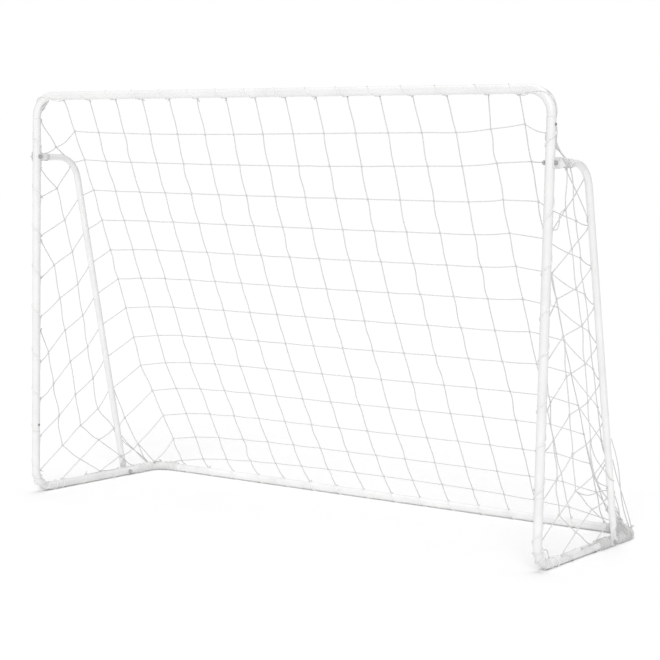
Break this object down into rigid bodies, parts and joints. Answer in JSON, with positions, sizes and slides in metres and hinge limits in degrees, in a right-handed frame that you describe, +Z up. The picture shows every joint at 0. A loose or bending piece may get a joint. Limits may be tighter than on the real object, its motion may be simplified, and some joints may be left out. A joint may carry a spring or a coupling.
{
  "type": "soccer goal frame",
  "caption": "Small soccer goal: push-fit round steel tube frame with rounded corners, two bolted side braces, spring-button tube joints and a square-mesh net.",
  "frame": {"origin": "on the floor, in the middle of the footprint", "axes": "+X to the right seen from the front, along the crossbar; +Y from the open mouth towards the back; +Z up"},
  "size_m": [2.1884, 0.76, 1.5],
  "materials": {
    "frame_white": "semi-gloss white powder coat",
    "brace_white": "semi-gloss white powder coat",
    "button_steel": "dull zinc-plated steel",
    "spring_steel": "bare spring steel",
    "zinc_fasteners": "dull zinc-plated steel",
    "net_cord": "braided white polyethylene cord"
  },
  "bodies": {
    "frame": {"crossbar_left": "frame_white", "crossbar_right": "frame_white", "post_left": "frame_white", "post_right": "frame_white", "lower_corner_left": "frame_white", "lower_corner_right": "frame_white", "ground_side_left": "frame_white", "ground_side_right": "frame_white", "rear_corner_left": "frame_white", "rear_corner_right": "frame_white", "brace_left": "brace_white", "brace_right": "brace_white", "upper_spring_left": "spring_steel", "upper_spring_right": "spring_steel", "lower_spring_left": "spring_steel", "lower_spring_right": "spring_steel", "brace_bolts": "zinc_fasteners", "brace_nuts": "zinc_fasteners", "brace_washers": "zinc_fasteners", "net_back": "net_cord", "net_side_left": "net_cord", "net_side_right": "net_cord"},
    "upper_button_left": {"upper_button_left": "button_steel"},
    "upper_button_right": {"upper_button_right": "button_steel"},
    "lower_button_left": {"lower_button_left": "button_steel"},
    "lower_button_right": {"lower_button_right": "button_steel"}
  },
  "joints": [
    {"name": "upper_button_left_press", "type": "slide", "parent": "frame", "child": "upper_button_left", "axis": [1, 0, 0], "range_m": [0, 0.0054], "stiffness_N_per_m": 1200, "springref_m": -0.002, "deforming": ["upper_spring_left"]},
    {"name": "upper_button_right_press", "type": "slide", "parent": "frame", "child": "upper_button_right", "axis": [-1, 0, 0], "range_m": [0, 0.0054], "stiffness_N_per_m": 1200, "springref_m": -0.002, "deforming": ["upper_spring_right"]},
    {"name": "lower_button_left_press", "type": "slide", "parent": "frame", "child": "lower_button_left", "axis": [-1, 0, 0], "range_m": [0, 0.0054], "stiffness_N_per_m": 1200, "springref_m": -0.002, "deforming": ["lower_spring_left"]},
    {"name": "lower_button_right_press", "type": "slide", "parent": "frame", "child": "lower_button_right", "axis": [1, 0, 0], "range_m": [0, 0.0054], "stiffness_N_per_m": 1200, "springref_m": -0.002, "deforming": ["lower_spring_right"]}
  ]
}
